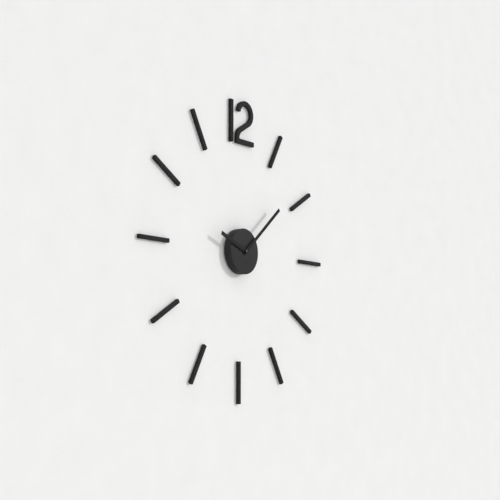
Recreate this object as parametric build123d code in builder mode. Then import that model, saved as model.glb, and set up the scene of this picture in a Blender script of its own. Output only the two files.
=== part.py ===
from build123d import *
import os
from math import acos, atan2, cos, degrees, hypot, radians, sin, sqrt, tan

# Frameless wall clock: a round hub with a quartz movement and two hands, and a ring of stick-on hour
# markers round it. Millimetres. +X is to the right and +Z is up for someone who faces the clock, and
# the front looks along -Y. The origin is the dial's centre on the wall plane, y = 0.
# "Depth" is the distance in front of the wall, so a point of depth d has y = -d.

os.makedirs("parts", exist_ok=True)

# ---------------------------------------------------------------- driving dimensions
# dial
dial_radius = 254.0            # outer ends of the hour markers
marker_length = 70.5
marker_width = 6.8
marker_thickness = 5.2         # the moulded stick alone
marker_chamfer = 0.4
pad_thickness = 1.4            # double-sided foam tape
pad_recess = 0.4               # pocket in the stick's back that the tape sits in
pad_margin = 1.0               # stick edge to pocket edge
pad_clearance = 0.15           # pocket edge to tape

# numeral 12
numeral_lift = 2.0             # its foot stands this much outside the markers' inner ends
numeral_height = 73.5
numeral_stroke = 8.4
one_centre_x = -22.0
two_bowl_x = 16.3              # centre of the 2's round top
two_bowl_radius = 18.6         # stroke's centre line
two_overshoot = 3.0            # the round top stands this much over the 1
two_start_angle = 172.0        # where the top stroke starts
two_foot_x = -5.5              # centre line of the stroke's upright foot
two_foot_rise = 9.5            # straight part of the foot
two_foot_radius = 17.0
two_base_right = 41.0

# hub cover
cover_case_clearance = 0.4     # the case's corners to the cover's wall
cover_wall = 1.0
cover_face = 0.8               # thickness of the front disc
cover_rim_depth = 2.4          # gap between the rim and the wall
cover_edge_radius = 0.5
cover_rib_height = 2.6         # ribs beside the case keep the cover from turning
cover_rib_thickness = 1.2
cover_rib_length = 20.0
cover_hole_clearance = 0.2     # cover, gasket and washer round the threaded bush

# hands: clockwise angles from twelve o'clock
minute_angle = 50.0
minute_length = 128.5
minute_width = 6.0
minute_boss_margin = 2.0       # metal round the arbor's hole
hour_angle = -70.0
hour_length = 71.3
hour_width = 7.0
hour_boss_margin = 2.1
hand_thickness = 0.5
hand_gap = 0.5                 # air between the stacked hands, and under the hour hand

# movement case
case_corner = 6.0
case_edge_radius = 0.5
case_wall = 1.2
case_face = 1.0
case_back = 1.2                # thickness of the rear cover
case_fit = 0.1                 # rear cover's lip inside the shell
lip_thickness = 0.8
lip_height = 2.0
ledge = 1.0                    # partition between the gear chamber and the battery bay
chamber_drop = 10.7            # gear chamber below the shafts

# hanger tab above the rear cover
hanger_width = 13.0
hanger_height = 8.2
hanger_thickness = 2.0
hanger_hole_radius = 2.6
hanger_hole_rise = 4.2         # hole centre above the case's top edge

# battery, AA size
cell_radius = 7.0
cell_length = 50.2
nub_radius = 2.75
nub_length = 1.1
can_edge_radius = 0.5
nub_edge_radius = 0.4
cell_back_gap = 0.2            # cell to the wall plane
cell_clearance = 0.15
cell_side_gap = 0.8            # cell to the case's lower wall
cell_front_wall = 0.65         # what is left of the front wall before the cell
contact_thickness = 0.4
contact_gap = 0.1              # cell to each contact
contact_half = 3.0             # half the side of each square contact plate
strip_width = 3.0
strip_lap = 1.0                  # negative plate reaches this far across its strip
strip_lift = 4.0                 # negative strip in front of the stator plate
strip_inset = 6.0                # negative strip's end from the board's right edge
strip_slot_margin = 1.0          # the slots run past the partition by this much each way
tongue_rise = 2.0                # positive contact's tongue above the board's lower edge
tongue_width = 3.0
tongue_lap = 1.2                 # the tongues lie this far over the board
top_tongue_lap = 1.5
spring_room = 2.4              # negative contact's spring at its working length
spring_turns = 3
spring_wire_radius = 0.25
spring_radius = 2.6
spring_seat = 0.1              # the first turn is sunk this far into the plate

# shafts and fits
running_fit = 0.05
minute_arbor_radius = 1.6
hour_tube_wall = 0.85
bush_wall = 1.35
bush_flange_margin = 1.6       # flange outside the thread
bush_flange = 0.6
minute_flat = 1.15             # half of the width across the hand seat's two flats
minute_thread_radius = 1.0
gasket_radius = 10.0
gasket_thickness = 0.5
washer_margin = 2.9
washer_thickness = 0.3
nut_wall = 1.6                 # thread to each flat
nut_thickness = 1.3
nut_chamfer = 0.2
bush_stand_out = 0.2           # bush above the nut
hand_nut_radius = 2.1
hand_nut_height = 1.5
hand_nut_edge = 0.5
thread_end_gap = 0.1           # arbor's tip to the bottom of the nut's hole
hand_nut_cap = 0.4
post_radius = 1.5
pin_radius = 0.7
pin_length = 0.8               # pins of the bridge posts
pin_stand_out = 0.2            # pins past the stator and the board

# gear train
wheel_thickness = 0.8
pinion_extra = 0.4             # pinion longer than its wheel, at each end
wheel_gap = 0.2
train_module = 0.30            # fourth wheel and its two mates
rotor_module = 0.25
motion_module = 0.40
backlash = 0.14                # share of the tooth thickness left out
teeth_rotor = 8
teeth_fifth = 48
teeth_fifth_pinion = 8
teeth_fourth = 40
teeth_fourth_pinion = 8
teeth_third = 60
teeth_third_pinion = 8
teeth_centre = 64
teeth_cannon = 12
teeth_motion = 36
teeth_motion_pinion = 10
teeth_hour = 40
teeth_knob = 12
fine_arbor_radius = 0.35
collar_radius = 1.4            # rear cover's collars round the arbors' ends
motion_stud_radius = 0.7
knob_back = 0.3                # knob to the wall plane
knob_radius = 5.0
knob_arbor_radius = 1.0
knob_thickness = 1.9
knob_flutes = 12
knob_flute_radius = 0.7
knob_clearance = 0.4           # knob in its recess
knob_recess_wall = 0.8
bridge_thickness = 0.6
bridge_corner = 1.5
bridge_side_gap = 2.0          # bridge to the case's side walls
bridge_low_gap = 1.7           # bridge to the partition
bridge_pin_inset = 1.8         # posts inside the bridge's side edges
bridge_low_inset = 2.0
bridge_high_inset = 1.9
bridge_centre_hole = 1.2

# coil, stator and circuit
stator_thickness = 0.8
stator_hole_radius = 3.0
stator_ring = 1.6              # iron round the rotor's hole
stator_bar = 4.0               # height of the bar that joins the legs
stator_bar_rise = 0.4          # bar's middle above the rotor
stator_leg = 3.8
stator_half_span = 11.2        # rotor to each leg
stator_post_drop = 3.1         # posts below the coil's axis
leg_overreach = 2.0              # stator legs stand this far past the coil core
magnet_radius = 2.4
magnet_bore = 1.2
magnet_stand_out = 0.8         # magnet past each face of the stator
core_width = 2.4
coil_radius = 3.2
coil_length = 16.0
bobbin_radius = 2.0
flange_radius = 3.9
flange_thickness = 0.8
flange_top_gap = 0.9           # bobbin to the case's top wall
flange_bridge_gap = 2.7
board_thickness = 1.0
board_length = 16.8
board_height = 8.8
board_side_gap = 2.8           # board to the case's right wall
board_top_gap = 1.4
board_post_left, board_post_right = 2.4, 4.0   # the board's two pins, from its left and right edges
board_post_drop, board_post_rise = 1.8, 2.0    # and from its upper and lower edges
crystal_radius = 1.0
crystal_length = 6.0
crystal_inset = (1.5, 1.6)     # from the board's lower left corner
chip_size = 4.0
chip_thickness = 1.0
chip_inset = 1.0
chip_edge = 0.3

# ---------------------------------------------------------------- levels in front of the wall
marker_back = pad_thickness - pad_recess

# stacked wheels, from the rear cover forwards
boss_height = 0.8
arbor_back = case_back + 0.1
boss_top = case_back + boss_height
rotor_pinion_back = boss_top + wheel_gap
fifth_back = rotor_pinion_back + pinion_extra
fourth_back = fifth_back + wheel_thickness + wheel_gap + 2 * pinion_extra + wheel_gap
third_back = fourth_back + wheel_thickness + wheel_gap + 2 * pinion_extra
bridge_back = third_back + wheel_thickness + pinion_extra + wheel_gap / 2
bridge_front = bridge_back + bridge_thickness
centre_back = bridge_front + wheel_gap + 0.1
motion_back = centre_back + wheel_thickness + 2 * pinion_extra + 2 * wheel_gap
hour_wheel_back = motion_back + wheel_thickness + 2 * pinion_extra
flange_back = hour_wheel_back + wheel_thickness + 2 * wheel_gap
stator_back = fourth_back + wheel_thickness - wheel_gap
board_back = stator_back

# case, deep enough for the wheels and for the cell
case_inner_front = max(
    flange_back + bush_flange,
    cell_back_gap + 2 * cell_radius + cell_clearance + cell_front_wall - case_face,
)
flange_back = case_inner_front - bush_flange
case_depth = case_inner_front + case_face

# case, wide enough for the cell and its contacts, and high enough for the cell under the wheels
case_size = max(
    cell_length + spring_room + 2 * (case_wall + contact_thickness + contact_gap),
    2 * (chamber_drop + ledge + 2 * cell_clearance + 2 * cell_radius + cell_side_gap + case_wall),
)
case_inner = case_size / 2 - case_wall
cell_height = -case_inner + cell_side_gap + cell_radius
cell_depth = cell_back_gap + cell_radius
ledge_bottom = cell_height + cell_radius + cell_clearance * 2
ledge_top = ledge_bottom + ledge

# shafts, each with a running fit in the next
hour_tube_radius = minute_arbor_radius + running_fit + hour_tube_wall
bush_radius = hour_tube_radius + running_fit + bush_wall
case_corner_reach = case_size / sqrt(2) - case_corner * (sqrt(2) - 1)
cover_radius = case_corner_reach + cover_case_clearance + cover_wall

# what the bush clamps, and the hands in front of it
cover_back_face = case_depth + gasket_thickness
cover_front_face = cover_back_face + cover_face
nut_back = cover_front_face + washer_thickness
bush_front = nut_back + nut_thickness + bush_stand_out
hour_hand_back = bush_front + hand_gap / 2
minute_hand_back = hour_hand_back + hand_thickness + hand_gap
hand_nut_back = minute_hand_back + hand_thickness
hour_tube_front = minute_hand_back - hand_gap / 2

# ---------------------------------------------------------------- gear positions (x, z)


def polar(centre, distance, angle):
    """Point at a distance and an angle from a centre, counter-clockwise from +X."""
    return (centre[0] + distance * cos(radians(angle)), centre[1] + distance * sin(radians(angle)))


def mesh_phase(teeth, phase, angle, mate_teeth):
    """Phase of a mating gear whose centre lies at this angle, so that its gap meets a tooth."""
    turn = (angle - phase) * teeth / 360
    return (angle + 180) - (0.5 - turn) * 360 / mate_teeth


centre_at = (0.0, 0.0)
third_angle = 35.0
fifth_angle = 140.0
rotor_angle = 110.0
motion_angle = 160.0
knob_angle = 180.0
third_distance = train_module * (teeth_fourth_pinion + teeth_third) / 2
centre_module = 2 * third_distance / (teeth_third_pinion + teeth_centre)
motion_distance = motion_module * (teeth_cannon + teeth_motion) / 2
hour_module = 2 * motion_distance / (teeth_motion_pinion + teeth_hour)
third_at = polar(centre_at, third_distance, third_angle)
fifth_at = polar(centre_at, train_module * (teeth_fourth + teeth_fifth_pinion) / 2, fifth_angle)
rotor_at = polar(fifth_at, rotor_module * (teeth_fifth + teeth_rotor) / 2, rotor_angle)
motion_at = polar(centre_at, motion_distance, motion_angle)
knob_at = polar(motion_at, motion_module * (teeth_motion + teeth_knob) / 2, knob_angle)

# tooth phases: each gear starts where its mate leaves a gap
third_phase = mesh_phase(teeth_fourth_pinion, 0, third_angle, teeth_third)
centre_phase = mesh_phase(teeth_third_pinion, 0, third_angle + 180, teeth_centre)
fifth_pinion_phase = mesh_phase(teeth_fourth, 0, fifth_angle, teeth_fifth_pinion)
rotor_phase = mesh_phase(teeth_fifth, 0, rotor_angle, teeth_rotor)
motion_phase = mesh_phase(teeth_cannon, 0, motion_angle, teeth_motion)
hour_phase = mesh_phase(teeth_motion_pinion, 0, motion_angle + 180, teeth_hour)
knob_phase = mesh_phase(teeth_motion, motion_phase, knob_angle, teeth_knob)

# ---------------------------------------------------------------- helpers


def disc(depth, centre, radius):
    """Round face parallel to the wall."""
    with BuildSketch(Plane.XZ.offset(depth)) as face:
        with Locations(centre):
            Circle(radius)
    return face.sketch


def block(depth, x_low, x_high, z_low, z_high):
    """Rectangular face parallel to the wall, by its edges."""
    with BuildSketch(Plane.XZ.offset(depth)) as face:
        with Locations(((x_low + x_high) / 2, (z_low + z_high) / 2)):
            Rectangle(x_high - x_low, z_high - z_low)
    return face.sketch


def case_outline(depth, size, corner):
    """Rounded square centred on the shaft."""
    with BuildSketch(Plane.XZ.offset(depth)) as face:
        RectangleRounded(size, size, corner)
    return face.sketch


def gear(depth, centre, teeth, module, phase=0):
    """Spur gear face with straight-flanked teeth, thinned for backlash."""
    pitch_radius = teeth * module / 2
    tip = pitch_radius + 0.75 * module
    root = pitch_radius - 1.0 * module
    half = module * 0.785 * (1 - backlash)
    slope = tan(radians(20))
    tip_half = (half - 0.75 * module * slope) / tip
    root_half = (half + 0.6 * module * slope) / root
    points = []
    for tooth in range(teeth):
        middle = radians(phase + tooth * 360 / teeth)
        for radius, offset_angle in (
            (root, -root_half),
            (tip, -tip_half),
            (tip, tip_half),
            (root, root_half),
        ):
            points.append((radius * cos(middle + offset_angle), radius * sin(middle + offset_angle)))
    with BuildSketch(Plane.XZ.offset(depth)) as face:
        with Locations(centre):
            Polygon(*points, align=None)
    return face.sketch


def save(part, label):
    """Name a finished piece and write it as one STEP file."""
    part.label = label
    export_step(part, f"parts/{label}.step")


# ---------------------------------------------------------------- hour markers 1 to 11
marker_middle = dial_radius - marker_length / 2
for hour in range(1, 12):
    radial = Plane(
        origin=(marker_middle * sin(radians(30 * hour)), 0, marker_middle * cos(radians(30 * hour))),
        x_dir=(sin(radians(30 * hour)), 0, cos(radians(30 * hour))),
        z_dir=(0, -1, 0),
    )
    with BuildPart() as marker:
        with BuildSketch(radial.offset(marker_back)):
            Rectangle(marker_length, marker_width)
        extrude(amount=marker_thickness)
        chamfer(marker.faces().sort_by(Axis.Y)[0].edges(), marker_chamfer)
        with BuildSketch(radial.offset(marker_back)):
            Rectangle(marker_length - 2 * pad_margin, marker_width - 2 * pad_margin)
        extrude(amount=pad_recess, mode=Mode.SUBTRACT)
    save(marker.part, f"marker_{hour:02d}")

pad_inset = 2 * (pad_margin + pad_clearance)
with BuildPart() as marker_pads:
    for hour in range(1, 12):
        radial = Plane(
            origin=(marker_middle * sin(radians(30 * hour)), 0, marker_middle * cos(radians(30 * hour))),
            x_dir=(sin(radians(30 * hour)), 0, cos(radians(30 * hour))),
            z_dir=(0, -1, 0),
        )
        with BuildSketch(radial):
            Rectangle(marker_length - pad_inset, marker_width - pad_inset)
        extrude(amount=pad_thickness)
save(marker_pads.part, "marker_pads")

# ---------------------------------------------------------------- numeral 12
numeral_base = dial_radius - marker_length + numeral_lift
numeral_top = numeral_base + numeral_height
half_stroke = numeral_stroke / 2


def one_face(depth, margin):
    """Outline of the 1, held back from its edges by a margin."""
    reach = half_stroke - margin
    return block(depth, one_centre_x - reach, one_centre_x + reach, numeral_base + margin, numeral_top - margin)


with BuildPart() as numeral_one:
    extrude(one_face(marker_back, 0), amount=marker_thickness)
    chamfer(numeral_one.faces().sort_by(Axis.Y)[0].edges(), marker_chamfer)
    extrude(one_face(marker_back, pad_margin), amount=pad_recess, mode=Mode.SUBTRACT)
save(numeral_one.part, "numeral_one")

# The 2's stroke: a round top, a straight diagonal, a bend into an upright foot, and a level base bar.
# The diagonal is the line that touches both rounds, the top on its right and the bend on its left.
two_bowl_z = numeral_top + two_overshoot - half_stroke - two_bowl_radius
bend_centre = (two_foot_x + two_foot_radius, numeral_base + two_foot_rise)
rounds_run = (bend_centre[0] - two_bowl_x, bend_centre[1] - two_bowl_z)
diagonal_angle = degrees(
    atan2(rounds_run[1], rounds_run[0]) + acos((two_bowl_radius + two_foot_radius) / hypot(*rounds_run))
)
diagonal_start = polar((two_bowl_x, two_bowl_z), two_bowl_radius, diagonal_angle)
diagonal_end = polar(bend_centre, two_foot_radius, diagonal_angle + 180)


def two_face(depth, margin):
    """Outline of the 2, held back from its edges by a margin."""
    width = numeral_stroke - 2 * margin
    trim = degrees(margin / two_bowl_radius)
    base_left = two_foot_x - half_stroke + margin
    base_right = two_base_right - margin
    with BuildSketch(Plane.XZ.offset(depth)) as face:
        with BuildLine() as stroke:
            CenterArc(
                (two_bowl_x, two_bowl_z),
                two_bowl_radius,
                two_start_angle - trim,
                diagonal_angle - two_start_angle + trim,
            )
            Line(diagonal_start, diagonal_end)
            CenterArc(bend_centre, two_foot_radius, diagonal_angle + 180, -diagonal_angle)
            Line((two_foot_x, bend_centre[1]), (two_foot_x, numeral_base + margin))
        trace(stroke.line, line_width=width)
        with Locations(((base_left + base_right) / 2, numeral_base + half_stroke)):
            Rectangle(base_right - base_left, width)
    return face.sketch


with BuildPart() as numeral_two:
    extrude(two_face(marker_back, 0), amount=marker_thickness)
    chamfer(numeral_two.faces().sort_by(Axis.Y)[0].edges(), marker_chamfer)
    extrude(two_face(marker_back, pad_margin), amount=pad_recess, mode=Mode.SUBTRACT)
save(numeral_two.part, "numeral_two")

with BuildPart() as numeral_pads:
    extrude(one_face(0, pad_margin + pad_clearance), amount=pad_thickness)
    extrude(two_face(0, pad_margin + pad_clearance), amount=pad_thickness)
save(numeral_pads.part, "numeral_pads")

# ---------------------------------------------------------------- hub cover and its fixings
cover_inner_radius = cover_radius - cover_wall
bush_hole_radius = bush_radius + cover_hole_clearance
rib_middle = case_size / 2 + case_fit + cover_rib_thickness / 2
with BuildPart() as hub_cover:
    extrude(disc(cover_rim_depth, centre_at, cover_radius), amount=cover_front_face - cover_rim_depth)
    fillet(hub_cover.faces().sort_by(Axis.Y)[0].edges(), cover_edge_radius)
    extrude(
        disc(cover_rim_depth, centre_at, cover_inner_radius),
        amount=cover_back_face - cover_rim_depth,
        mode=Mode.SUBTRACT,
    )
    with BuildSketch(Plane.XZ.offset(cover_back_face - cover_rib_height)):
        with PolarLocations(rib_middle, 4):
            Rectangle(cover_rib_thickness, cover_rib_length)
    extrude(amount=cover_rib_height)
    extrude(disc(cover_back_face, centre_at, bush_hole_radius), amount=cover_face, mode=Mode.SUBTRACT)
save(hub_cover.part, "hub_cover")

with BuildPart() as rubber_gasket:
    extrude(disc(case_depth, centre_at, gasket_radius), amount=gasket_thickness)
    extrude(disc(case_depth, centre_at, bush_hole_radius), amount=gasket_thickness, mode=Mode.SUBTRACT)
save(rubber_gasket.part, "rubber_gasket")

with BuildPart() as bush_washer:
    extrude(disc(cover_front_face, centre_at, bush_radius + washer_margin), amount=washer_thickness)
    extrude(disc(cover_front_face, centre_at, bush_hole_radius), amount=washer_thickness, mode=Mode.SUBTRACT)
save(bush_washer.part, "bush_washer")

with BuildPart() as bush_nut:
    with BuildSketch(Plane.XZ.offset(nut_back)):
        RegularPolygon(bush_radius + nut_wall, 6, major_radius=False)
        Circle(bush_radius, mode=Mode.SUBTRACT)
    extrude(amount=nut_thickness)
    chamfer(bush_nut.edges().filter_by(GeomType.LINE).filter_by(Axis.Y, reverse=True), nut_chamfer)
save(bush_nut.part, "bush_nut")

with BuildPart() as threaded_bush:
    extrude(disc(flange_back, centre_at, bush_radius + bush_flange_margin), amount=bush_flange)
    extrude(disc(case_inner_front, centre_at, bush_radius), amount=bush_front - case_inner_front)
    chamfer(threaded_bush.faces().sort_by(Axis.Y)[0].edges(), nut_chamfer)
    extrude(
        disc(flange_back, centre_at, hour_tube_radius + running_fit),
        amount=bush_front - flange_back,
        mode=Mode.SUBTRACT,
    )
save(threaded_bush.part, "threaded_bush")

# ---------------------------------------------------------------- hands


def hand_plane(depth, angle):
    """Plane parallel to the wall with its local X along the hand."""
    return Plane(
        origin=(0, -depth, 0),
        x_dir=(sin(radians(angle)), 0, cos(radians(angle))),
        z_dir=(0, -1, 0),
    )


with BuildPart() as hour_hand:
    with BuildSketch(hand_plane(hour_hand_back, hour_angle)):
        with Locations((hour_length / 2, 0)):
            Rectangle(hour_length, hour_width)
        Circle(hour_tube_radius + hour_boss_margin)
        Circle(hour_tube_radius, mode=Mode.SUBTRACT)
    extrude(amount=hand_thickness)
save(hour_hand.part, "hour_hand")

with BuildPart() as minute_hand:
    with BuildSketch(hand_plane(minute_hand_back, minute_angle)):
        with Locations((minute_length / 2, 0)):
            Rectangle(minute_length, minute_width)
        Circle(minute_arbor_radius + minute_boss_margin)
        with BuildSketch(mode=Mode.SUBTRACT):
            Circle(minute_arbor_radius)
            Rectangle(2 * minute_arbor_radius, 2 * minute_flat, mode=Mode.INTERSECT)
    extrude(amount=hand_thickness)
save(minute_hand.part, "minute_hand")

with BuildPart() as hand_nut:
    extrude(disc(hand_nut_back, centre_at, hand_nut_radius), amount=hand_nut_height)
    fillet(hand_nut.faces().sort_by(Axis.Y)[0].edges(), hand_nut_edge)
    extrude(
        disc(hand_nut_back, centre_at, minute_thread_radius),
        amount=hand_nut_height - hand_nut_cap,
        mode=Mode.SUBTRACT,
    )
save(hand_nut.part, "hand_nut")

# ---------------------------------------------------------------- movement case
pin_fit = running_fit
coil_height = case_inner - flange_radius - flange_top_gap
bridge_right = case_inner - bridge_side_gap
bridge_low = ledge_top + bridge_low_gap
bridge_high = coil_height - flange_radius - flange_bridge_gap
bridge_posts = [
    (side * (bridge_right - bridge_pin_inset), height)
    for height in (bridge_low + bridge_low_inset, bridge_high - bridge_high_inset)
    for side in (-1, 1)
]
stator_posts = [(rotor_at[0] + side * stator_half_span, coil_height - stator_post_drop) for side in (-1, 1)]
board_right = case_inner - board_side_gap
board_left = board_right - board_length
board_high = case_inner - board_top_gap
board_low = board_high - board_height
board_posts = (
    (board_left + board_post_left, board_high - board_post_drop),
    (board_right - board_post_right, board_low + board_post_rise),
)
cell_left = case_inner - contact_thickness - contact_gap - cell_length
negative_strip_depth = stator_back + stator_thickness + strip_lift
positive_strip_depth = board_back
strip_slot = (ledge_bottom - strip_slot_margin, ledge_top + strip_slot_margin)

with BuildPart() as movement_case_front:
    extrude(case_outline(case_back, case_size, case_corner), amount=case_depth - case_back)
    fillet(movement_case_front.faces().sort_by(Axis.Y)[0].edges(), case_edge_radius)
    extrude(
        case_outline(case_back, 2 * case_inner, case_corner - case_wall),
        amount=case_inner_front - case_back,
        mode=Mode.SUBTRACT,
    )
    extrude(
        block(case_back + lip_height, -case_inner, case_inner, ledge_bottom, ledge_top),
        amount=case_inner_front - case_back - lip_height,
    )
    # room for the cell's round body in the front wall, and for its way out past the rounded corners
    with BuildSketch(Plane.YZ.offset(-case_inner + contact_thickness)):
        with Locations((-cell_depth, cell_height)):
            Circle(cell_radius + cell_clearance)
        with Locations((-cell_depth / 2, cell_height)):
            Rectangle(cell_depth, 2 * (cell_radius + cell_clearance))
    extrude(amount=2 * case_inner - 2 * contact_thickness - nub_length, mode=Mode.SUBTRACT)
    # slots where the two contact strips pass the partition
    for side in (-1, 1):
        slot_edges = sorted((side * case_inner, side * (case_inner - contact_thickness - case_fit)))
        slot_depth = negative_strip_depth if side < 0 else positive_strip_depth
        extrude(
            block(slot_depth - case_fit, *slot_edges, *strip_slot),
            amount=strip_width + 2 * case_fit,
            mode=Mode.SUBTRACT,
        )
    for post in bridge_posts:
        extrude(disc(bridge_front, post, post_radius), amount=case_inner_front - bridge_front)
        extrude(disc(bridge_front - pin_length, post, pin_radius), amount=pin_length)
    for post in stator_posts:
        seat = stator_back + stator_thickness
        extrude(disc(seat, post, post_radius), amount=case_inner_front - seat)
        extrude(disc(stator_back - pin_stand_out, post, pin_radius), amount=stator_thickness + pin_stand_out)
    for post in board_posts:
        seat = board_back + board_thickness
        extrude(disc(seat, post, post_radius), amount=case_inner_front - seat)
        extrude(disc(board_back - pin_stand_out, post, pin_radius), amount=board_thickness + pin_stand_out)
    # stud that the motion wheel turns on
    stud_back = motion_back - 2 * wheel_gap
    extrude(disc(stud_back, motion_at, motion_stud_radius), amount=case_inner_front - stud_back)
    extrude(disc(case_inner_front, centre_at, bush_radius), amount=case_face, mode=Mode.SUBTRACT)
save(movement_case_front.part, "movement_case_front")

knob_recess_radius = knob_radius + knob_clearance
knob_recess_depth = knob_back + knob_thickness + wheel_gap
lip_outer = case_inner - case_fit
with BuildPart() as movement_case_rear:
    extrude(case_outline(0, case_size, case_corner), amount=case_back)
    extrude(
        block(0, -hanger_width / 2, hanger_width / 2, case_size / 2, case_size / 2 + hanger_height),
        amount=hanger_thickness,
    )
    with BuildSketch(Plane.XZ.offset(case_back)):
        RectangleRounded(2 * lip_outer, 2 * lip_outer, case_corner - case_wall - case_fit)
        RectangleRounded(
            2 * (lip_outer - lip_thickness),
            2 * (lip_outer - lip_thickness),
            case_corner - case_wall - case_fit - lip_thickness,
            mode=Mode.SUBTRACT,
        )
    extrude(amount=lip_height)
    # the battery bay stays open at the back
    extrude(
        block(0, -case_size / 2, case_size / 2, -case_size / 2, ledge_bottom),
        amount=lip_height + case_back,
        mode=Mode.SUBTRACT,
    )
    # collars that the arbors' rear ends run in
    for arbor_at in (centre_at, third_at, fifth_at, rotor_at):
        extrude(disc(case_back, arbor_at, collar_radius), amount=boss_height)
        extrude(
            disc(boss_top, arbor_at, fine_arbor_radius + running_fit), amount=-boss_height, mode=Mode.SUBTRACT
        )
    # recess for the setting knob, with a guide hole for its arbor
    extrude(
        disc(case_back, knob_at, knob_recess_radius + knob_recess_wall),
        amount=knob_recess_depth - case_back + knob_recess_wall,
    )
    extrude(disc(0, knob_at, knob_recess_radius), amount=knob_recess_depth, mode=Mode.SUBTRACT)
    extrude(
        disc(knob_recess_depth, knob_at, knob_arbor_radius + running_fit),
        amount=knob_recess_wall,
        mode=Mode.SUBTRACT,
    )
    # nail hole in the hanger tab
    extrude(
        disc(0, (0, case_size / 2 + hanger_hole_rise), hanger_hole_radius),
        amount=hanger_thickness,
        mode=Mode.SUBTRACT,
    )
save(movement_case_rear.part, "movement_case_rear")

with BuildPart() as train_bridge:
    extrude(block(bridge_back, -bridge_right, bridge_right, bridge_low, bridge_high), amount=bridge_thickness)
    fillet(train_bridge.edges().filter_by(Axis.Y), bridge_corner)
    for post in bridge_posts:
        extrude(disc(bridge_back, post, pin_radius + pin_fit), amount=bridge_thickness, mode=Mode.SUBTRACT)
    for arbor_at in (third_at, fifth_at, rotor_at):
        extrude(
            disc(bridge_back, arbor_at, fine_arbor_radius + running_fit),
            amount=bridge_thickness,
            mode=Mode.SUBTRACT,
        )
    extrude(disc(bridge_back, centre_at, bridge_centre_hole), amount=bridge_thickness, mode=Mode.SUBTRACT)
    extrude(
        disc(bridge_back, knob_at, knob_arbor_radius + running_fit),
        amount=bridge_thickness,
        mode=Mode.SUBTRACT,
    )
save(train_bridge.part, "train_bridge")

# ---------------------------------------------------------------- wheels, from the front to the rotor
wheel = wheel_thickness
with BuildPart() as hour_wheel:
    extrude(gear(hour_wheel_back, centre_at, teeth_hour, hour_module, hour_phase), amount=wheel)
    extrude(disc(hour_wheel_back, centre_at, hour_tube_radius), amount=hour_tube_front - hour_wheel_back)
    extrude(
        disc(hour_wheel_back, centre_at, minute_arbor_radius + running_fit),
        amount=hour_tube_front - hour_wheel_back,
        mode=Mode.SUBTRACT,
    )
save(hour_wheel.part, "hour_wheel")

arbor_rear = bridge_front + wheel_gap / 2
arbor_nose = 1.4               # fourth wheel's arbor inside the minute arbor
with BuildPart() as minute_arbor:
    extrude(disc(arbor_rear, centre_at, minute_arbor_radius), amount=minute_hand_back - arbor_rear)
    with BuildSketch(hand_plane(minute_hand_back, minute_angle)):
        Circle(minute_arbor_radius)
        Rectangle(2 * minute_arbor_radius, 2 * minute_flat, mode=Mode.INTERSECT)
    extrude(amount=hand_thickness)
    extrude(
        disc(hand_nut_back, centre_at, minute_thread_radius),
        amount=hand_nut_height - hand_nut_cap - thread_end_gap,
    )
    extrude(gear(motion_back, centre_at, teeth_cannon, motion_module), amount=wheel + pinion_extra)
    extrude(
        disc(arbor_rear, centre_at, fine_arbor_radius + running_fit),
        amount=arbor_nose + wheel_gap,
        mode=Mode.SUBTRACT,
    )
save(minute_arbor.part, "minute_arbor")

motion_pinion_back = motion_back + wheel
with BuildPart() as motion_wheel:
    extrude(gear(motion_back, motion_at, teeth_motion, motion_module, motion_phase), amount=wheel)
    extrude(
        gear(motion_pinion_back, motion_at, teeth_motion_pinion, hour_module),
        amount=hour_wheel_back + wheel + wheel_gap - motion_pinion_back,
    )
    extrude(
        disc(motion_back, motion_at, motion_stud_radius + running_fit),
        amount=hour_wheel_back + wheel + wheel_gap - motion_back,
        mode=Mode.SUBTRACT,
    )
save(motion_wheel.part, "motion_wheel")

with BuildPart() as set_knob:
    extrude(disc(knob_back, knob_at, knob_radius), amount=knob_thickness)
    with BuildSketch(Plane.XZ.offset(knob_back)):
        with Locations(knob_at):
            with PolarLocations(knob_radius + knob_flute_radius / 2, knob_flutes):
                Circle(knob_flute_radius)
    extrude(amount=knob_thickness, mode=Mode.SUBTRACT)
    knob_front = motion_back + wheel + wheel_gap
    extrude(disc(knob_back, knob_at, knob_arbor_radius), amount=knob_front - knob_back)
    extrude(
        gear(motion_back - wheel_gap, knob_at, teeth_knob, motion_module, knob_phase),
        amount=wheel + 2 * wheel_gap,
    )
save(set_knob.part, "set_knob")

with BuildPart() as centre_wheel:
    extrude(gear(centre_back, centre_at, teeth_centre, centre_module, centre_phase), amount=wheel)
    extrude(
        disc(centre_back, centre_at, minute_arbor_radius + running_fit), amount=wheel, mode=Mode.SUBTRACT
    )
save(centre_wheel.part, "centre_wheel")

with BuildPart() as third_wheel:
    extrude(gear(third_back, third_at, teeth_third, train_module, third_phase), amount=wheel)
    extrude(disc(arbor_back, third_at, fine_arbor_radius), amount=centre_back + wheel + wheel_gap - arbor_back)
    extrude(
        gear(bridge_front + wheel_gap / 2, third_at, teeth_third_pinion, centre_module),
        amount=centre_back + wheel + wheel_gap - bridge_front - wheel_gap / 2,
    )
save(third_wheel.part, "third_wheel")

with BuildPart() as fourth_wheel:
    extrude(gear(fourth_back, centre_at, teeth_fourth, train_module), amount=wheel)
    extrude(disc(arbor_back, centre_at, fine_arbor_radius), amount=arbor_rear + arbor_nose - arbor_back)
    extrude(
        gear(fourth_back + wheel, centre_at, teeth_fourth_pinion, train_module),
        amount=third_back + wheel + wheel_gap - fourth_back - wheel,
    )
save(fourth_wheel.part, "fourth_wheel")

with BuildPart() as fifth_wheel:
    extrude(gear(fifth_back, fifth_at, teeth_fifth, rotor_module), amount=wheel)
    extrude(disc(arbor_back, fifth_at, fine_arbor_radius), amount=bridge_front - wheel_gap - arbor_back)
    extrude(
        gear(fifth_back + wheel, fifth_at, teeth_fifth_pinion, train_module, fifth_pinion_phase),
        amount=fourth_back + wheel + wheel_gap - fifth_back - wheel,
    )
save(fifth_wheel.part, "fifth_wheel")

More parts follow.
